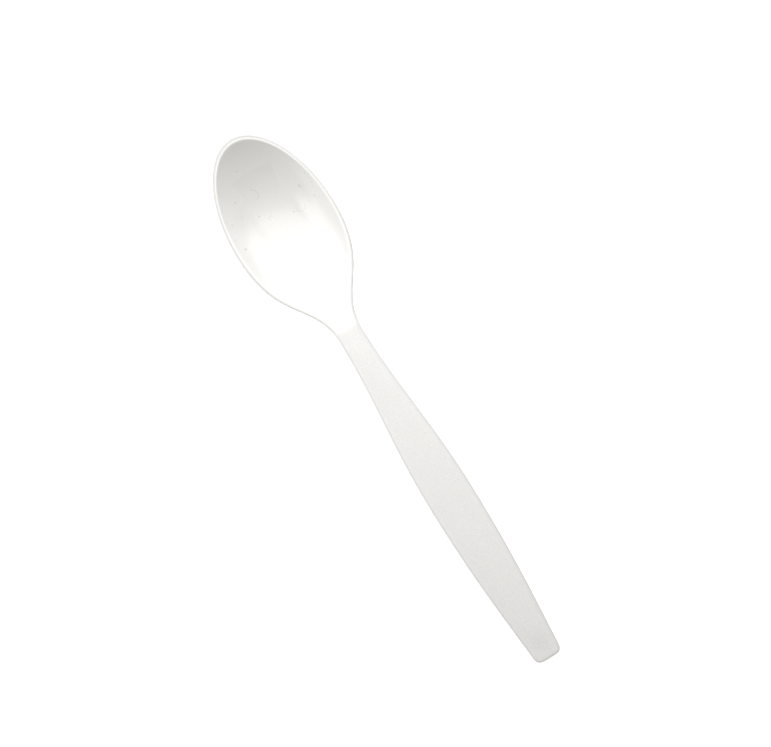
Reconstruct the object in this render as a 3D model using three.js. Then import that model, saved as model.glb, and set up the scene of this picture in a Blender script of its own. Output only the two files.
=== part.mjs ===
// A disposable teaspoon, moulded in one shot of white plastic. It is one solid: a shallow bowl with a
// narrow flat land round its rim, a slim neck, and an arched handle that is a channel, open underneath.
// Units are millimetres. The length runs along X, with the tip of the bowl at +X, and Z is up.
// The spoon lies on Z = 0, on the lowest point of its bowl and on the flat heel under the handle's end,
// and the origin is under the middle of its length.
// A station is a distance along the spoon, measured from the tip of the bowl.

import * as THREE from "three";

// Overall length
const LENGTH = 152;

// Outline of the bowl, seen from above
const BOWL_HALF_WIDTH = 14.08;
const BOWL_WIDEST_STATION = 26.4;
const NECK_STATION = 57.3;
const NECK_HALF_WIDTH = 3.36;
const NECK_RADIUS = 19.5;

// Outline of the handle, seen from above
const HANDLE_HALF_WIDTH = 6.03;
const HANDLE_WIDEST_FROM_END = 46.5;
const HANDLE_NECK_RADIUS = 160;
const HANDLE_SIDE_RADIUS = 218;
const HANDLE_TAPER = 0.079;
const TAPER_RUN = 31.7;
const CORNER_RADIUS = 1.8;
const SMALLEST_CORNER = 0.3;

// Bowl
const BOWL_DEPTH = 7;
const BOWL_FLOOR = 0.9;
const RIM_EDGE = 0.55;
const TIP_RISE = 0.4;
const TIP_LAND = 1.3;
const SIDE_LAND = 1;
const LAND_EASE = 0.12;
const END_FULLNESS = 0.1;
const SIDE_FULLNESS = 0.25;

// Crest, the line across the neck where the bowl ends and the top of the handle starts
const CREST_BEFORE_NECK = 1;
const CREST_RISE = 1.2;
const CREST_SLOPE = 0.06;
const CREST_RAMP = 0.13;

// Handle
const PLATE = 1.3;
const WALL = 1;
const CHANNEL_DRAFT = 0.15;
const NECK_SKIRT = 1.9;
const END_SKIRT = 1.4;
const SKIRT_BEFORE_NECK = 13.3;
const SKIRT_AFTER_NECK = 4.7;
const HEEL_LENGTH = 4;
const CROWN = 0.35;
const CROWN_RUN = 8;

// Rounding of the outer edges
const EDGE_FILLET = 0.25;

// Steps of the mesh along each stretch of one side, from the tip to the middle of the handle's end
const FRONT_STEPS = 16;
const SHOULDER_STEPS = 15;
const WAIST_STEPS = 16;
const HIP_STEPS = 8;
const TAPER_STEPS = 6;
const HEEL_STEPS = 2;
const CORNER_STEPS = 4;
const END_STEPS = 2;
const BISECTIONS = 40;

// Stations and heights that follow from the sizes above
const CREST_STATION = NECK_STATION - CREST_BEFORE_NECK;
const HANDLE_WIDEST_STATION = LENGTH - HANDLE_WIDEST_FROM_END;
const TAPER_STATION = HANDLE_WIDEST_STATION + TAPER_RUN;
const HEEL_STATION = LENGTH - HEEL_LENGTH;
const SKIRT_START = NECK_STATION - SKIRT_BEFORE_NECK;
const SKIRT_FULL = NECK_STATION + SKIRT_AFTER_NECK;
const RIM_HEIGHT = BOWL_DEPTH + BOWL_FLOOR;
const CREST_HEIGHT = RIM_HEIGHT + CREST_RISE;
const END_HEIGHT = PLATE + END_SKIRT;
const FILLET = Math.min(EDGE_FILLET, RIM_EDGE / 2);

const { lerp, smootherstep } = THREE.MathUtils;

// Outlines

// Curve between two stations where the outline runs parallel to the length, with the radius it has at each
function sideCurve(start, end) {
  const span = end.station - start.station;
  const drop = Math.abs(end.halfWidth - start.halfWidth);
  const reach = (radius) => Math.min(Math.sqrt((2 / 3) * drop * radius), span);
  return new THREE.CubicBezierCurve(
    new THREE.Vector2(start.station, start.halfWidth),
    new THREE.Vector2(start.station + reach(start.radius), start.halfWidth),
    new THREE.Vector2(end.station - reach(end.radius), end.halfWidth),
    new THREE.Vector2(end.station, end.halfWidth),
  );
}

// One side of the spoon's outline, moved inwards by one inset at the tip and another everywhere else
function makeOutline(tipInset, inset) {
  const bowlLength = BOWL_WIDEST_STATION - tipInset;
  const bowlHalfWidth = BOWL_HALF_WIDTH - inset;
  const neckHalfWidth = NECK_HALF_WIDTH - inset;
  const handleHalfWidth = HANDLE_HALF_WIDTH - inset;
  const taperHalfWidth = handleHalfWidth - (HANDLE_TAPER * TAPER_RUN) / 2;
  const endStation = LENGTH - inset;
  const endHalfWidth = taperHalfWidth - HANDLE_TAPER * (endStation - TAPER_STATION);

  const front = new THREE.EllipseCurve(
    BOWL_WIDEST_STATION, 0, bowlLength, bowlHalfWidth, Math.PI, Math.PI / 2, true,
  );
  const shoulder = sideCurve(
    { station: BOWL_WIDEST_STATION, halfWidth: bowlHalfWidth, radius: bowlLength ** 2 / bowlHalfWidth },
    { station: NECK_STATION, halfWidth: neckHalfWidth, radius: NECK_RADIUS + inset },
  );
  const waist = sideCurve(
    { station: NECK_STATION, halfWidth: neckHalfWidth, radius: HANDLE_NECK_RADIUS + inset },
    { station: HANDLE_WIDEST_STATION, halfWidth: handleHalfWidth, radius: HANDLE_SIDE_RADIUS - inset },
  );
  const hip = new THREE.QuadraticBezierCurve(
    new THREE.Vector2(HANDLE_WIDEST_STATION, handleHalfWidth),
    new THREE.Vector2((HANDLE_WIDEST_STATION + TAPER_STATION) / 2, handleHalfWidth),
    new THREE.Vector2(TAPER_STATION, taperHalfWidth),
  );

  // The corner arc touches the tapered side and the straight end
  const taperAngle = Math.atan(HANDLE_TAPER);
  const roomForCorner = endHalfWidth * Math.cos(taperAngle);
  const cornerRadius = Math.min(Math.max(CORNER_RADIUS - inset, SMALLEST_CORNER), roomForCorner);
  const cornerStation = endStation - cornerRadius;
  const cornerSide = endHalfWidth + cornerRadius * (HANDLE_TAPER - 1 / Math.cos(taperAngle));
  const corner = new THREE.EllipseCurve(
    cornerStation, cornerSide, cornerRadius, cornerRadius, Math.PI / 2 - taperAngle, 0, true,
  );
  const taper = new THREE.LineCurve(new THREE.Vector2(TAPER_STATION, taperHalfWidth), corner.getPoint(0));
  const end = new THREE.LineCurve(corner.getPoint(1), new THREE.Vector2(endStation, 0));

  return { bowlLength, bowlHalfWidth, taperHalfWidth, front, shoulder, waist, hip, taper, corner, end };
}

// Parameter at which a curve that runs from tip to end passes a station
function parameterAt(curve, station) {
  let low = 0;
  let high = 1;
  for (let step = 0; step < BISECTIONS; step += 1) {
    const middle = (low + high) / 2;
    if (curve.getPoint(middle).x < station) low = middle;
    else high = middle;
  }
  return (low + high) / 2;
}

// Half width of an outline behind the bowl's widest station, as if the tapered sides had no corners
function halfWidthAt(outline, station) {
  if (station > TAPER_STATION) return outline.taperHalfWidth - HANDLE_TAPER * (station - TAPER_STATION);
  let curve = outline.hip;
  if (station < HANDLE_WIDEST_STATION) curve = outline.waist;
  if (station < NECK_STATION) curve = outline.shoulder;
  return curve.getPoint(parameterAt(curve, station)).y;
}

// Points of a curve after one parameter, up to another
function pointsBetween(curve, from, to, steps) {
  return Array.from({ length: steps }, (_, step) => curve.getPoint(lerp(from, to, (step + 1) / steps)));
}

// The same number of points on every outline, with one of them at the crest and one at the heel's start
function sampleOutline(outline) {
  const crest = parameterAt(outline.shoulder, CREST_STATION);
  const heel = parameterAt(outline.taper, HEEL_STATION);
  return [
    ...outline.front.getPoints(FRONT_STEPS),
    ...pointsBetween(outline.shoulder, 0, crest, SHOULDER_STEPS),
    ...pointsBetween(outline.shoulder, crest, 1, 1),
    ...pointsBetween(outline.waist, 0, 1, WAIST_STEPS),
    ...pointsBetween(outline.hip, 0, 1, HIP_STEPS),
    ...pointsBetween(outline.taper, 0, heel, TAPER_STEPS),
    ...pointsBetween(outline.taper, heel, 1, HEEL_STEPS),
    ...pointsBetween(outline.corner, 0, 1, CORNER_STEPS),
    ...pointsBetween(outline.end, 0, 1, END_STEPS),
  ];
}

// Profiles along the spoon

const OUTER = makeOutline(0, 0);
const INNER = makeOutline(TIP_LAND, SIDE_LAND);

// Arch of the handle: a parabola through the crest, with its slope there, and the end
function archHeight(station) {
  const fromCrest = station - CREST_STATION;
  const reach = LENGTH - CREST_STATION;
  const sag = (END_HEIGHT - CREST_HEIGHT - CREST_SLOPE * reach) / reach ** 2;
  return CREST_HEIGHT + CREST_SLOPE * fromCrest + sag * fromCrest ** 2;
}

// Top edge of the rim and of the handle: lowest at the bowl's widest station, then up into the arch
function edgeHeight(station) {
  const fromWidest = (BOWL_WIDEST_STATION - station) / BOWL_WIDEST_STATION;
  const rim = RIM_HEIGHT + TIP_RISE * fromWidest ** 2;
  return lerp(rim, archHeight(station), smootherstep(station, BOWL_WIDEST_STATION, CREST_STATION));
}

// Depth of the bowl along its middle behind the widest station, easing into a ramp up to the crest
function depthAlong(station) {
  if (station < BOWL_WIDEST_STATION) return BOWL_DEPTH;
  const along = (station - BOWL_WIDEST_STATION) / INNER.bowlLength;
  const hollow = BOWL_DEPTH * (1 - along ** 2) * (1 + END_FULLNESS * along ** 2);
  const ramp = CREST_RAMP * Math.max(CREST_STATION - station, 0);
  return lerp(hollow, ramp, smootherstep(station, BOWL_WIDEST_STATION, CREST_STATION));
}

// Share of the depth that a place in the bowl has: 1 at the deepest point, 0 on the outline and outside
function depthShare(outline, station, side) {
  if (station < BOWL_WIDEST_STATION) {
    const along = (BOWL_WIDEST_STATION - station) / outline.bowlLength;
    const across = side / outline.bowlHalfWidth;
    const hollow = Math.max(1 - along ** 2 - across ** 2, 0);
    return hollow * (1 + END_FULLNESS * along ** 2) * (1 + SIDE_FULLNESS * across ** 2);
  }
  const across = side / halfWidthAt(outline, station);
  return Math.max(1 - across ** 2, 0) * (1 + SIDE_FULLNESS * across ** 2);
}

// How far the section has changed from the bowl's thin rim to the handle's plate
function handleShare(station) {
  return smootherstep(station, SKIRT_START, SKIRT_FULL);
}

// Height of the skirt below the plate: it grows out of the back of the bowl and stands on the heel
function skirtHeight(station) {
  if (station < SKIRT_FULL) return NECK_SKIRT * handleShare(station);
  if (station > HEEL_STATION) return edgeHeight(station) - PLATE;
  const along = (station - SKIRT_FULL) / (HEEL_STATION - SKIRT_FULL);
  return lerp(NECK_SKIRT, edgeHeight(HEEL_STATION) - PLATE, along);
}

// Slight crown across the top of the handle, gone at the crest and at the end
function crownHeight(station, side) {
  if (station < CREST_STATION) return 0;
  const across = side / halfWidthAt(INNER, station);
  const fromCrest = smootherstep(station, CREST_STATION, CREST_STATION + CROWN_RUN);
  const fromEnd = smootherstep(LENGTH - SIDE_LAND - station, 0, CROWN_RUN);
  return CROWN * Math.max(1 - across ** 2, 0) * fromCrest * fromEnd;
}

// Height of the upper surface
function topHeight(station, side) {
  const hollow = depthAlong(station) * depthShare(INNER, station, side);
  return edgeHeight(station) - hollow + crownHeight(station, side);
}

// Height of the under surface, without the skirt
function underHeight(station, side) {
  const edge = lerp(RIM_EDGE, PLATE, handleShare(station));
  const floor = lerp(BOWL_FLOOR, PLATE, handleShare(station));
  const depth = depthAlong(station) + floor - edge;
  return edgeHeight(station) - edge - depth * depthShare(OUTER, station, side);
}

// Height of the skirt's lower edge
function skirtFoot(station, side) {
  return underHeight(station, side) - skirtHeight(station);
}

// Mesh

const positions = [];
const triangles = [];

function addPoint(station, side, height) {
  positions.push(LENGTH / 2 - station, side, height);
  return positions.length / 3 - 1;
}

function pointAt(index) {
  return new THREE.Vector3().fromArray(positions, index * 3);
}

// Two triangles, split along the shorter diagonal
function addQuad(a, b, c, d) {
  const first = pointAt(a).distanceTo(pointAt(c));
  const second = pointAt(b).distanceTo(pointAt(d));
  if (first <= second) triangles.push(a, b, c, a, c, d);
  else triangles.push(a, b, d, b, c, d);
}

// Closed loop of points round an inset outline, from the tip down the +Y side and back up the -Y side
function addLoop(tipInset, inset, height, lift = 0) {
  const half = sampleOutline(makeOutline(tipInset, inset));
  const back = half.slice(1, -1).reverse();
  const rounds = [...half, ...back.map((point) => new THREE.Vector2(point.x, -point.y))];
  return rounds.map(({ x, y }) => addPoint(x, y, height(x, y) + lift));
}

// Band of faces between two loops
function addBand(first, second) {
  first.forEach((point, step) => {
    const next = (step + 1) % first.length;
    addQuad(point, first[next], second[next], second[step]);
  });
}

// Skin inside a loop. Its rows run across the spoon: the first row is the loop round the tip, the last
// is the loop round the handle's end, and the rows between them straighten over a stretch at each end.
function addSkin(loop, height, facesUp) {
  const endSteps = CORNER_STEPS + END_STEPS;
  const columns = 2 * endSteps;
  const rows = loop.length / 2 - columns;
  const wrap = (step) => loop[(step + loop.length) % loop.length];
  const plan = (point) => new THREE.Vector2(LENGTH / 2 - pointAt(point).x, pointAt(point).y);
  const tipRow = (column) => wrap(endSteps - column);
  const lastRow = (column) => wrap(endSteps + rows + column);
  const left = (row) => wrap(endSteps + row);
  const right = (row) => wrap(-endSteps - row);
  const chord = (row, column) => plan(left(row)).lerp(plan(right(row)), column / columns);
  const bulge = (row, curved, column) => plan(curved(column)).sub(chord(row, column));

  const grid = [];
  for (let row = 0; row <= rows; row += 1) {
    const station = plan(left(row)).x;
    const tipShare = (BOWL_WIDEST_STATION - station) / (BOWL_WIDEST_STATION - plan(left(0)).x);
    const endShare = (station - TAPER_STATION) / (plan(left(rows)).x - TAPER_STATION);
    const line = [];
    for (let column = 0; column <= columns; column += 1) {
      if (row === 0) line.push(tipRow(column));
      else if (row === rows) line.push(lastRow(column));
      else if (column === 0) line.push(left(row));
      else if (column === columns) line.push(right(row));
      else {
        const place = chord(row, column);
        place.addScaledVector(bulge(0, tipRow, column), Math.max(tipShare, 0) ** 2);
        place.addScaledVector(bulge(rows, lastRow, column), Math.max(endShare, 0) ** 2);
        line.push(addPoint(place.x, place.y, height(place.x, place.y)));
      }
    }
    grid.push(line);
  }

  for (let row = 0; row < rows; row += 1) {
    for (let column = 0; column < columns; column += 1) {
      const corners = [
        grid[row][column],
        grid[row + 1][column],
        grid[row + 1][column + 1],
        grid[row][column + 1],
      ];
      if (!facesUp) corners.reverse();
      addQuad(...corners);
    }
  }
}

// A fillet is two flat bands, so its middle loop lies this share of the fillet in from each face
const FILLET_MIDDLE = 1 - Math.SQRT1_2;

// Loops from the edge of the channel's ceiling, out round the skirt and the side, and in over the land
const loops = [
  addLoop(WALL + CHANNEL_DRAFT, WALL + CHANNEL_DRAFT, underHeight),
  addLoop(WALL, WALL, skirtFoot),
  addLoop(FILLET, FILLET, skirtFoot),
  addLoop(FILLET * FILLET_MIDDLE, FILLET * FILLET_MIDDLE, skirtFoot, FILLET * FILLET_MIDDLE),
  addLoop(0, 0, skirtFoot, FILLET),
  addLoop(0, 0, topHeight, -FILLET),
  addLoop(FILLET * FILLET_MIDDLE, FILLET * FILLET_MIDDLE, topHeight, -FILLET * FILLET_MIDDLE),
  addLoop(FILLET, FILLET, topHeight),
  addLoop(TIP_LAND - LAND_EASE, SIDE_LAND - LAND_EASE, topHeight),
  addLoop(TIP_LAND + LAND_EASE, SIDE_LAND + LAND_EASE, topHeight),
];
for (let step = 1; step < loops.length; step += 1) addBand(loops[step - 1], loops[step]);
addSkin(loops[0], underHeight, false);
addSkin(loops.at(-1), topHeight, true);

const geometry = new THREE.BufferGeometry();
geometry.setAttribute("position", new THREE.Float32BufferAttribute(positions, 3));
geometry.setIndex(triangles);
geometry.computeVertexNormals();

const whitePlastic = new THREE.MeshStandardMaterial({ color: 0xf3f2ee, roughness: 0.3, metalness: 0 });

const spoon = new THREE.Mesh(geometry, whitePlastic);
spoon.name = "spoon";

const teaspoon = new THREE.Group();
teaspoon.name = "disposable_teaspoon";
teaspoon.add(spoon);

export default teaspoon;
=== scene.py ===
import math

import bmesh
import bpy
from mathutils import Matrix, Vector


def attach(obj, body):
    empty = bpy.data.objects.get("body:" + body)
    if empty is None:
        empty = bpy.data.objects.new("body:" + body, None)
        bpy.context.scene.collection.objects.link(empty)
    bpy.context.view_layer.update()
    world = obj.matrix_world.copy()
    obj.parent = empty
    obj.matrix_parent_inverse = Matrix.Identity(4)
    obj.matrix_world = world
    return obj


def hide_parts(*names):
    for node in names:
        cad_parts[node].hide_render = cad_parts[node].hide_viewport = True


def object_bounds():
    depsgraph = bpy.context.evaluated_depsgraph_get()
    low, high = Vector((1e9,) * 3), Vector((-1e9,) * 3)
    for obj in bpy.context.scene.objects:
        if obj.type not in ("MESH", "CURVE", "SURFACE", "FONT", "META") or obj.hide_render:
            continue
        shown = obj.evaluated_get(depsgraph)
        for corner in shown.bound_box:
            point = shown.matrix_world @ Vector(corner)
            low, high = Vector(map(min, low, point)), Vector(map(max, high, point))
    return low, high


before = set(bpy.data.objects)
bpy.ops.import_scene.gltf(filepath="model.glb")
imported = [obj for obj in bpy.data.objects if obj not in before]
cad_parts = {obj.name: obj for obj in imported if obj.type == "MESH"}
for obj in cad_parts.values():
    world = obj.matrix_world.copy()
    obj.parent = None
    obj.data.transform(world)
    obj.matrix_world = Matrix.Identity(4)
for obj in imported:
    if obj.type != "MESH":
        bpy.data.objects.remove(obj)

# A white disposable teaspoon on a plain pale floor, seen from straight above

MM = 0.001
CAD_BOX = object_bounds()
TIP_X = CAD_BOX[1].x

# Where the glossy bowl ends and the grained handle begins, from the tip of the bowl
CREST_FROM_TIP = 55.1 * MM
CREST_BAND = 2 * MM

# Picture frame: its size in pixels, where the middle of the spoon lies in it, the scale at the height of
# the rim, and how far the spoon is turned from upright
PICTURE_WIDTH = 771
PICTURE_HEIGHT = 747
SPOON_MIDDLE_PX = (390.4, 399.2)
PIXELS_PER_METRE = 4020
RIM_HEIGHT = 8 * MM
SPOON_TILT = math.radians(31.68)
LENS_MM = 200
SENSOR_MM = 36


def add_node(tree, kind, inputs=None, **settings):
    """Makes a shader node, with its settings, and its inputs set to values or linked to outputs."""
    node = tree.nodes.new(kind)
    for name, value in settings.items():
        setattr(node, name, value)
    for name, value in (inputs or {}).items():
        if isinstance(value, bpy.types.NodeSocket):
            tree.links.new(value, node.inputs[name])
        else:
            node.inputs[name].default_value = value
    return node


def combine(tree, operation, first, second):
    """Output of a math node on two values or outputs."""
    return add_node(tree, "ShaderNodeMath", {0: first, 1: second}, operation=operation).outputs[0]


def product(tree, first, *factors):
    """Output of the math nodes that multiply several values or outputs."""
    result = first
    for factor in factors:
        result = combine(tree, "MULTIPLY", result, factor)
    return result


def ramp_between(tree, value, start, end):
    """0 where the value is at start, 1 where it is at end, smooth between them."""
    inputs = {"Value": value, "From Min": start, "From Max": end}
    ramp = add_node(tree, "ShaderNodeMapRange", inputs, interpolation_type="SMOOTHSTEP")
    return ramp.outputs["Result"]


def blend(tree, share, at_none, at_full):
    """Goes evenly from one value to another as the share goes from 0 to 1."""
    inputs = {"Value": share, "To Min": at_none, "To Max": at_full}
    return add_node(tree, "ShaderNodeMapRange", inputs).outputs["Result"]


def noise(tree, position, per_metre, detail):
    """Noise between 0 and 1. Detail is how many finer layers lie over the first."""
    inputs = {"Vector": position, "Scale": per_metre, "Detail": detail}
    return add_node(tree, "ShaderNodeTexNoise", inputs).outputs["Fac"]


# Marks in the bowl

# Specks of dust: distance from the tip, offset to the -Y side and radius, in millimetres
SPECKS = (
    (6.4, -2.4, 0.12),
    (6.3, 5.2, 0.13),
    (8.2, -0.9, 0.12),
    (13.3, -2.1, 0.25),
    (13.8, -1.5, 0.2),
    (14.0, -7.2, 0.3),
    (16.8, 11.4, 0.22),
    (18.5, -10.8, 0.24),
    (18.6, 8.6, 0.34),
    (19.2, 8.8, 0.28),
    (19.7, 11.8, 0.2),
    (19.9, -3.9, 0.28),
    (22.1, -11.9, 0.2),
    (22.8, 10.6, 0.28),
    (23.1, 8.5, 0.18),
    (23.4, 4.1, 0.3),
    (25.3, -11.1, 0.4),
    (31.7, 9.2, 0.2),
)

# Share of its radius inside which a speck has its full strength
SPECK_CORE = 0.3
SPECK_STRENGTH = 0.45

# Short curled hairs: distance from the tip, offset to the -Y side, radius, direction of the middle of the
# arc round from +X to +Y, and half its opening, in millimetres and degrees
HAIRS = (
    (7.2, -2.7, 0.5, 180, 80),
    (14.7, -2.7, 1.5, -90, 70),
    (17.9, -7.4, 0.4, 90, 80),
    (21.8, -1.6, 0.5, 20, 110),
    (23.3, 6.2, 1.15, 180, 95),
)
HAIR_HALF_WIDTH = 0.13 * MM
HAIR_END = 0.05 * MM
HAIR_STRENGTH = 0.36

# Shield-shaped darker patch under an arc across the bowl, fading towards the handle, and two lighter lines
# that run back from its ends
ARC_CENTRE = (30.1, -0.7)
ARC_RADIUS = 21 * MM
ARC_SOFTNESS = 0.15 * MM
SHIELD_START = 9 * MM
SHIELD_FADED = 19 * MM
LINES_START = 10 * MM
LINES_END = 23 * MM
LINES_FADE = 1 * MM
LINE_OFFSET_START = 5.55 * MM
LINE_OFFSET_END = 4.45 * MM
LINE_HALF_WIDTH = 0.16 * MM
SHIELD_STRENGTH = 0.45
LINE_STRENGTH = 0.2


def place_on_spoon(from_tip, to_right):
    """Row-frame position, on Z = 0, of a place given in millimetres from the tip and to the -Y side."""
    return Vector((TIP_X - from_tip * MM, -to_right * MM, 0))


def distance_from(tree, flat_position, from_tip, to_right):
    """Distance, seen from above, from a place on the spoon."""
    inputs = {0: flat_position, 1: place_on_spoon(from_tip, to_right)}
    return add_node(tree, "ShaderNodeVectorMath", inputs, operation="DISTANCE").outputs["Value"]


def speck_mask(tree, flat_position, from_tip, to_right, radius):
    """1 on a round speck."""
    reach = distance_from(tree, flat_position, from_tip, to_right)
    return ramp_between(tree, reach, radius * MM, radius * MM * SPECK_CORE)


def hair_mask(tree, flat_position, from_tip, to_right, radius, heading, opening):
    """1 on a thin arc, which is the part of a ring that lies near its heading."""
    ends = {0: flat_position, 1: place_on_spoon(from_tip, to_right)}
    offset = add_node(tree, "ShaderNodeVectorMath", ends, operation="SUBTRACT").outputs[0]
    reach = distance_from(tree, flat_position, from_tip, to_right)
    away = combine(tree, "ABSOLUTE", combine(tree, "SUBTRACT", reach, radius * MM), 0)
    on_ring = ramp_between(tree, away, HAIR_HALF_WIDTH, 0)
    angle = math.radians(heading)
    towards_middle = {0: offset, 1: (math.cos(angle), math.sin(angle), 0)}
    along = add_node(tree, "ShaderNodeVectorMath", towards_middle, operation="DOT_PRODUCT").outputs["Value"]
    limit = radius * MM * math.cos(math.radians(opening))
    in_arc = ramp_between(tree, along, limit - HAIR_END, limit + HAIR_END)
    return product(tree, on_ring, in_arc)


def add_marks(tree, flat_position):
    """Strength of all the marks together."""
    total = 0.0
    for speck in SPECKS:
        mask = product(tree, speck_mask(tree, flat_position, *speck), SPECK_STRENGTH)
        total = combine(tree, "MAXIMUM", mask, total)
    for hair in HAIRS:
        mask = product(tree, hair_mask(tree, flat_position, *hair), HAIR_STRENGTH)
        total = combine(tree, "MAXIMUM", mask, total)
    return total


def add_shield(tree, flat_position):
    """Masks of the shield's shade and of its two lines."""
    axes = add_node(tree, "ShaderNodeSeparateXYZ", {0: flat_position}).outputs
    from_tip = combine(tree, "SUBTRACT", TIP_X, axes["X"])
    aside = combine(tree, "ABSOLUTE", axes["Y"], 0)
    inputs = {
        "Value": from_tip,
        "From Min": LINES_START,
        "From Max": LINES_END,
        "To Min": LINE_OFFSET_START,
        "To Max": LINE_OFFSET_END,
    }
    line_offset = add_node(tree, "ShaderNodeMapRange", inputs).outputs["Result"]
    beyond_line = combine(tree, "SUBTRACT", aside, line_offset)

    reach = distance_from(tree, flat_position, *ARC_CENTRE)
    in_arc = ramp_between(tree, reach, ARC_RADIUS + ARC_SOFTNESS, ARC_RADIUS - ARC_SOFTNESS)
    between_lines = ramp_between(tree, beyond_line, LINE_HALF_WIDTH, -LINE_HALF_WIDTH)
    near_tip = ramp_between(tree, from_tip, SHIELD_FADED, SHIELD_START)
    shade = product(tree, in_arc, between_lines, near_tip)

    on_line = ramp_between(tree, combine(tree, "ABSOLUTE", beyond_line, 0), LINE_HALF_WIDTH, 0)
    past_start = ramp_between(tree, from_tip, LINES_START, LINES_START + LINES_FADE)
    before_end = ramp_between(tree, from_tip, LINES_END, LINES_END - LINES_FADE)
    lines = product(tree, on_line, past_start, before_end)
    return shade, lines


# Materials

WHITE = (1, 1, 1, 1)
PLASTIC_LIGHT = (0.85, 0.842, 0.818, 1)
PLASTIC_SHADE = (0.83, 0.825, 0.805, 1)
SHIELD_COLOUR = (0.78, 0.775, 0.755, 1)
LINE_COLOUR = (0.98, 0.975, 0.96, 1)
# Painted shade: darker colour for the line along the upper outer edge, where it rounds over
EDGE_SHADE_COLOUR = (0.61, 0.6, 0.57, 1)
# Colour of the handle's grain, and also of the painted shade over the whole top of the handle
GRAIN_AND_HANDLE_SHADE_COLOUR = (0.62, 0.607, 0.59, 1)
MARK_COLOUR = (0.42, 0.42, 0.46, 1)
GLOSS_LEVEL = 0.9
BOWL_ROUGHNESS = 0.21
HANDLE_ROUGHNESS = 0.6

# The plastic itself: how much it bends light, and how much and how deep light scatters inside it
REFRACTION = 1.59
SCATTER_SHARE = 0.15
SCATTER_RADIUS = (1.0, 0.95, 0.85)
SCATTER_DEPTH = 0.8 * MM

# Uneven shade all over, fine grain on the handle, painted shade over the whole top of the handle, and slow
# waves of the surface
MOTTLE_PER_METRE = 90
MOTTLE_DETAIL = 3
GRAIN_PER_METRE = 3300
GRAIN_DETAIL = 2
GRAIN_HEIGHT = 0.02 * MM
GRAIN_LOW = 0.3
GRAIN_HIGH = 0.7
BOWL_GRAIN_STRENGTH = 0.13
HANDLE_GRAIN_STRENGTH = 0.36
# Strength of the painted shade that darkens the whole top of the handle
HANDLE_SHADE_STRENGTH = 0.21
WAVE_PER_METRE = 130
WAVE_DETAIL = 1
WAVE_HEIGHT = 0.02 * MM

# How far the grain moves the line where the grained handle begins
NOISE_MIDDLE = 0.5
CREST_UNEVENNESS = 3 * MM

# How far up a surface faces where the looks of the upper side start, and where they are full
TOP_START = 0.2
TOP_FULL = 0.6

# Takes the height out of a position
FLATTEN = (1, 1, 0)

# The mesh says with this attribute where its upper outer edge is: 1 on the edge and 0 at the next points.
# Painted shade darkens the edge there: it starts at the first share of it and is full at the second.
EDGE_ATTRIBUTE = "upper_edge"
EDGE_SHADE_START = 0.15
EDGE_SHADE_FULL = 0.9
BOWL_EDGE_SHADE_STRENGTH = 1
HANDLE_EDGE_SHADE_STRENGTH = 0.6


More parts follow.
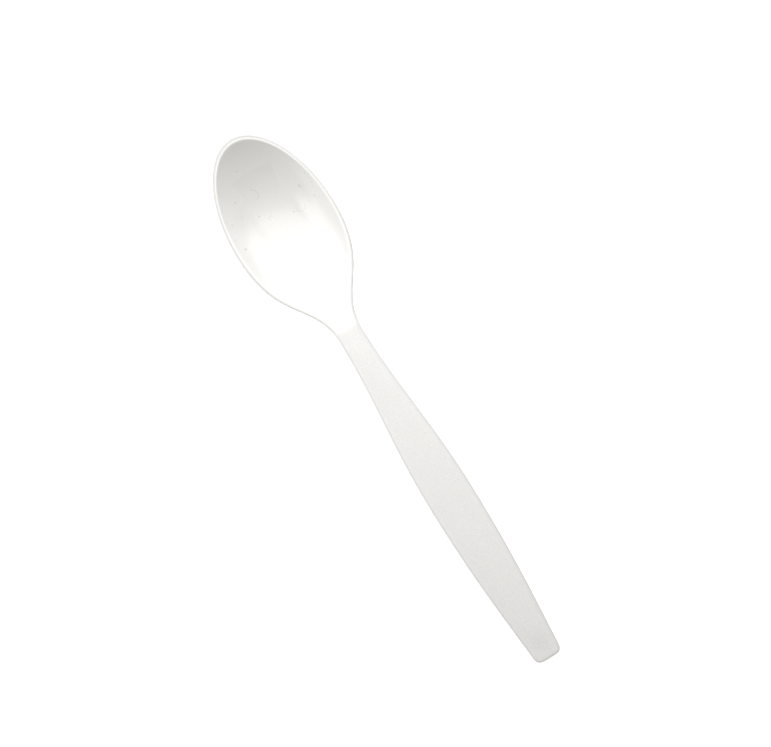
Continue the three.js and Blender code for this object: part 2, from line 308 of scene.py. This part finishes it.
def white_plastic():
    """White polystyrene: glossy in the bowl and underneath, finely grained on top of the handle."""
    material = bpy.data.materials.new("white_plastic")
    material.use_nodes = True
    tree = material.node_tree
    shader = tree.nodes["Principled BSDF"]

    # Places: the upper side, and on it the grained top of the handle
    position = add_node(tree, "ShaderNodeTexCoord").outputs["Object"]
    x = add_node(tree, "ShaderNodeSeparateXYZ", {0: position}).outputs["X"]
    flattened = {0: position, 1: FLATTEN}
    flat_position = add_node(tree, "ShaderNodeVectorMath", flattened, operation="MULTIPLY").outputs[0]
    normal = add_node(tree, "ShaderNodeNewGeometry").outputs["Normal"]
    facing_up = add_node(tree, "ShaderNodeSeparateXYZ", {0: normal}).outputs["Z"]
    on_top = ramp_between(tree, facing_up, TOP_START, TOP_FULL)
    grain = noise(tree, position, GRAIN_PER_METRE, GRAIN_DETAIL)
    uneven = product(tree, combine(tree, "SUBTRACT", grain, NOISE_MIDDLE), CREST_UNEVENNESS)
    along = combine(tree, "ADD", x, uneven)
    crest_x = TIP_X - CREST_FROM_TIP
    on_handle = ramp_between(tree, along, crest_x + CREST_BAND / 2, crest_x - CREST_BAND / 2)
    grained = product(tree, on_handle, on_top)

    # Colour: uneven shade, a shield-shaped darker patch with two lighter lines, painted shade over the top
    # of the handle, the grain, painted shade along the upper outer edge, and the marks
    mottle = noise(tree, position, MOTTLE_PER_METRE, MOTTLE_DETAIL)
    shade, lines = add_shield(tree, flat_position)
    edge_share = add_node(tree, "ShaderNodeAttribute", attribute_name=EDGE_ATTRIBUTE).outputs["Fac"]
    painted_edge_shade = ramp_between(tree, edge_share, EDGE_SHADE_START, EDGE_SHADE_FULL)
    edge_shade_strength = blend(tree, on_handle, BOWL_EDGE_SHADE_STRENGTH, HANDLE_EDGE_SHADE_STRENGTH)
    grain_shade = ramp_between(tree, grain, GRAIN_LOW, GRAIN_HIGH)
    grain_strength = blend(tree, grained, BOWL_GRAIN_STRENGTH, HANDLE_GRAIN_STRENGTH)
    layers = (
        (mottle, PLASTIC_SHADE),
        (product(tree, shade, on_top, SHIELD_STRENGTH), SHIELD_COLOUR),
        (product(tree, lines, on_top, LINE_STRENGTH), LINE_COLOUR),
        # Painted shade: the whole top of the handle a little darker than the bowl
        (product(tree, grained, HANDLE_SHADE_STRENGTH), GRAIN_AND_HANDLE_SHADE_COLOUR),
        (product(tree, grain_shade, grain_strength), GRAIN_AND_HANDLE_SHADE_COLOUR),
        # Painted shade along the upper outer edge
        (product(tree, painted_edge_shade, edge_shade_strength), EDGE_SHADE_COLOUR),
        (product(tree, add_marks(tree, flat_position), on_top), MARK_COLOUR),
    )
    colour = PLASTIC_LIGHT
    for mask, layer in layers:
        inputs = {"Factor": mask, "A": colour, "B": layer}
        colour = add_node(tree, "ShaderNodeMix", inputs, data_type="RGBA").outputs["Result"]
    tree.links.new(colour, shader.inputs["Base Color"])

    # Gloss
    roughness = blend(tree, grained, BOWL_ROUGHNESS, HANDLE_ROUGHNESS)
    tree.links.new(roughness, shader.inputs["Roughness"])

    # Relief: slow waves all over from the moulding, and a fine grain on the handle
    wave = noise(tree, position, WAVE_PER_METRE, WAVE_DETAIL)
    waves = add_node(tree, "ShaderNodeBump", {"Height": wave, "Distance": WAVE_HEIGHT})
    inputs = {
        "Height": product(tree, grain, grained),
        "Distance": GRAIN_HEIGHT,
        "Normal": waves.outputs["Normal"],
    }
    relief = add_node(tree, "ShaderNodeBump", inputs)
    tree.links.new(relief.outputs["Normal"], shader.inputs["Normal"])

    shader.inputs["IOR"].default_value = REFRACTION
    shader.inputs["Specular IOR Level"].default_value = GLOSS_LEVEL
    shader.inputs["Subsurface Weight"].default_value = SCATTER_SHARE
    shader.inputs["Subsurface Radius"].default_value = SCATTER_RADIUS
    shader.inputs["Subsurface Scale"].default_value = SCATTER_DEPTH
    return material


FLOOR_COLOUR = (0.96, 0.96, 0.955, 1)
FLOOR_ROUGHNESS = 0.9
FLOOR_GLOSS_LEVEL = 0.1
FLOOR_GLOW = 0.5


def floor_material():
    """Plain white paper, lifted a little so that it reads as white."""
    material = bpy.data.materials.new("floor_white")
    material.use_nodes = True
    shader = material.node_tree.nodes["Principled BSDF"]
    shader.inputs["Base Color"].default_value = FLOOR_COLOUR
    shader.inputs["Roughness"].default_value = FLOOR_ROUGHNESS
    shader.inputs["Specular IOR Level"].default_value = FLOOR_GLOSS_LEVEL
    shader.inputs["Emission Color"].default_value = WHITE
    shader.inputs["Emission Strength"].default_value = FLOOR_GLOW
    return material


# The spoon

WELD_DISTANCE = 0.002 * MM
SMOOTHING_LEVELS = 2

# Joining triangles in pairs: the most that two may be bent against each other, and how much it counts
# that the pairs line up
QUAD_ANGLE = math.radians(60)
GRID_INFLUENCE = 1.0

# Angles between two faces from which the edge they share starts to stay crisp, and stays fully crisp
CRISP_FROM = math.radians(9)
CRISP_FULL = math.radians(14)

# How far up a face looks at most: a side, and the first band of the rounded edge above it. The other number
# is how many rows of points are marked above that band's foot.
SIDE_MOST_UP = 0.2
ROUND_MOST_UP = 0.6
ROUND_BANDS = 2


def is_above_edge(vertex):
    """Whether a point is on the upper surface and has a lower one beside it."""
    lowest = min(edge.other_vert(vertex).co.z for edge in vertex.link_edges)
    return vertex.normal.z > 0 and vertex.co.z > lowest


def mark_upper_edge(mesh):
    """Sets the edge attribute to 1 where the sides round over to the top, and returns those points."""
    mesh.normal_update()
    share = mesh.verts.layers.float.new(EDGE_ATTRIBUTE)
    marked = set()
    for vertex in mesh.verts:
        ups = [face.normal.z for face in vertex.link_faces]
        beside_side = any(abs(up) < SIDE_MOST_UP for up in ups)
        below_round = any(SIDE_MOST_UP < up < ROUND_MOST_UP for up in ups)
        if beside_side and below_round:
            marked.add(vertex)
    last = marked
    for _ in range(ROUND_BANDS):
        neighbours = {edge.other_vert(vertex) for vertex in last for edge in vertex.link_edges}
        last = {vertex for vertex in neighbours - marked if is_above_edge(vertex)}
        marked |= last
    for vertex in marked:
        vertex[share] = 1
    return marked


def add_smooth_spoon(material):
    """The spoon with the form of its CAD solid, its facets made into a smooth surface."""
    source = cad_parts["spoon"]
    mesh = bmesh.new()
    mesh.from_mesh(source.data)
    mesh.transform(source.matrix_world)
    bmesh.ops.remove_doubles(mesh, verts=mesh.verts, dist=WELD_DISTANCE)
    bmesh.ops.join_triangles(
        mesh,
        faces=mesh.faces,
        angle_face_threshold=QUAD_ANGLE,
        angle_shape_threshold=math.pi,
        topology_influence=GRID_INFLUENCE,
    )
    for face in mesh.faces:
        face.smooth = True
    upper_edge = mark_upper_edge(mesh)
    creases = mesh.edges.layers.float.new("crease_edge")
    for edge in mesh.edges:
        crispness = (edge.calc_face_angle() - CRISP_FROM) / (CRISP_FULL - CRISP_FROM)
        edge[creases] = min(max(crispness, 0), 1)
        faces_up = all(face.normal.z > ROUND_MOST_UP for face in edge.link_faces)
        edge.smooth = not (crispness >= 1 and faces_up and upper_edge.isdisjoint(edge.verts))
    data = bpy.data.meshes.new("smooth_spoon")
    mesh.to_mesh(data)
    mesh.free()
    data.materials.append(material)
    piece = bpy.data.objects.new("smooth_spoon", data)
    bpy.context.collection.objects.link(piece)
    smoothing = piece.modifiers.new("smoothing", "SUBSURF")
    smoothing.levels = SMOOTHING_LEVELS
    smoothing.render_levels = SMOOTHING_LEVELS
    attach(piece, "root")
    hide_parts("spoon")


# Stage, lights and camera

# The picture's right and up directions in the row frame: the spoon's tip points up and to the left
PICTURE_RIGHT = Vector((-math.sin(SPOON_TILT), -math.cos(SPOON_TILT), 0))
PICTURE_UP = Vector((math.cos(SPOON_TILT), -math.sin(SPOON_TILT), 0))
FLOOR_SIZE = 3


def add_floor():
    """Plain pale floor under the spoon."""
    bpy.ops.mesh.primitive_plane_add(size=FLOOR_SIZE)
    floor = bpy.context.object
    floor.name = "floor"
    floor.data.materials.append(floor_material())


def add_soft_light(name, tilt, heading, distance, width, height, power):
    """Soft light that shines on the origin. Tilt is from straight above, heading round from +X."""
    light = bpy.data.lights.new(name, "AREA")
    light.shape = "RECTANGLE"
    light.size = width
    light.size_y = height
    light.energy = power
    outwards = Vector((math.cos(heading), math.sin(heading), 0))
    direction = outwards * math.sin(tilt) + Vector((0, 0, math.cos(tilt)))
    holder = bpy.data.objects.new(name, light)
    holder.location = direction * distance
    holder.rotation_mode = "QUATERNION"
    holder.rotation_quaternion = direction.to_track_quat("Z", "Y")
    bpy.context.collection.objects.link(holder)


KEY_TILT = math.radians(28)
KEY_HEADING = math.radians(-7)
KEY_DISTANCE = 3
KEY_WIDTH = 6
KEY_HEIGHT = 4.6
KEY_POWER = 140
SIDE_TILT = math.radians(63)
SIDE_HEADING = math.radians(62)
SIDE_DISTANCE = 1.6
SIDE_WIDTH = 1.8
SIDE_HEIGHT = 1.2
RIGHT_POWER = 13.5
LEFT_POWER = 12.5
FILL_STRENGTH = 0.08


def add_lights():
    """A large soft light over the tip of the bowl, a low one on each side, and a little from all round."""
    add_soft_light("key", KEY_TILT, KEY_HEADING, KEY_DISTANCE, KEY_WIDTH, KEY_HEIGHT, KEY_POWER)
    sides = (("right", -SIDE_HEADING, RIGHT_POWER), ("left", SIDE_HEADING, LEFT_POWER))
    for name, heading, power in sides:
        add_soft_light(name, SIDE_TILT, heading, SIDE_DISTANCE, SIDE_WIDTH, SIDE_HEIGHT, power)
    world = bpy.data.worlds.new("room")
    world.use_nodes = True
    background = world.node_tree.nodes["Background"]
    background.inputs["Color"].default_value = WHITE
    background.inputs["Strength"].default_value = FILL_STRENGTH
    bpy.context.scene.world = world


CLIP_START = 0.01
CLIP_END = 10


def add_camera():
    """Camera straight above, turned so that the spoon lies across the picture as in the photograph."""
    distance = PICTURE_WIDTH * LENS_MM / (SENSOR_MM * PIXELS_PER_METRE)
    right_px = PICTURE_WIDTH / 2 - SPOON_MIDDLE_PX[0]
    up_px = SPOON_MIDDLE_PX[1] - PICTURE_HEIGHT / 2
    aim = (PICTURE_RIGHT * right_px + PICTURE_UP * up_px) / PIXELS_PER_METRE
    data = bpy.data.cameras.new("camera")
    data.lens = LENS_MM
    data.sensor_width = SENSOR_MM
    data.clip_start = CLIP_START
    data.clip_end = CLIP_END
    camera = bpy.data.objects.new("camera", data)
    turn = Matrix((PICTURE_RIGHT, PICTURE_UP, Vector((0, 0, 1)))).transposed()
    camera.matrix_world = Matrix.Translation(aim + Vector((0, 0, RIM_HEIGHT + distance))) @ turn.to_4x4()
    bpy.context.collection.objects.link(camera)
    bpy.context.scene.camera = camera


add_smooth_spoon(white_plastic())
add_floor()
add_lights()
add_camera()
bpy.context.scene.view_settings.view_transform = "Standard"
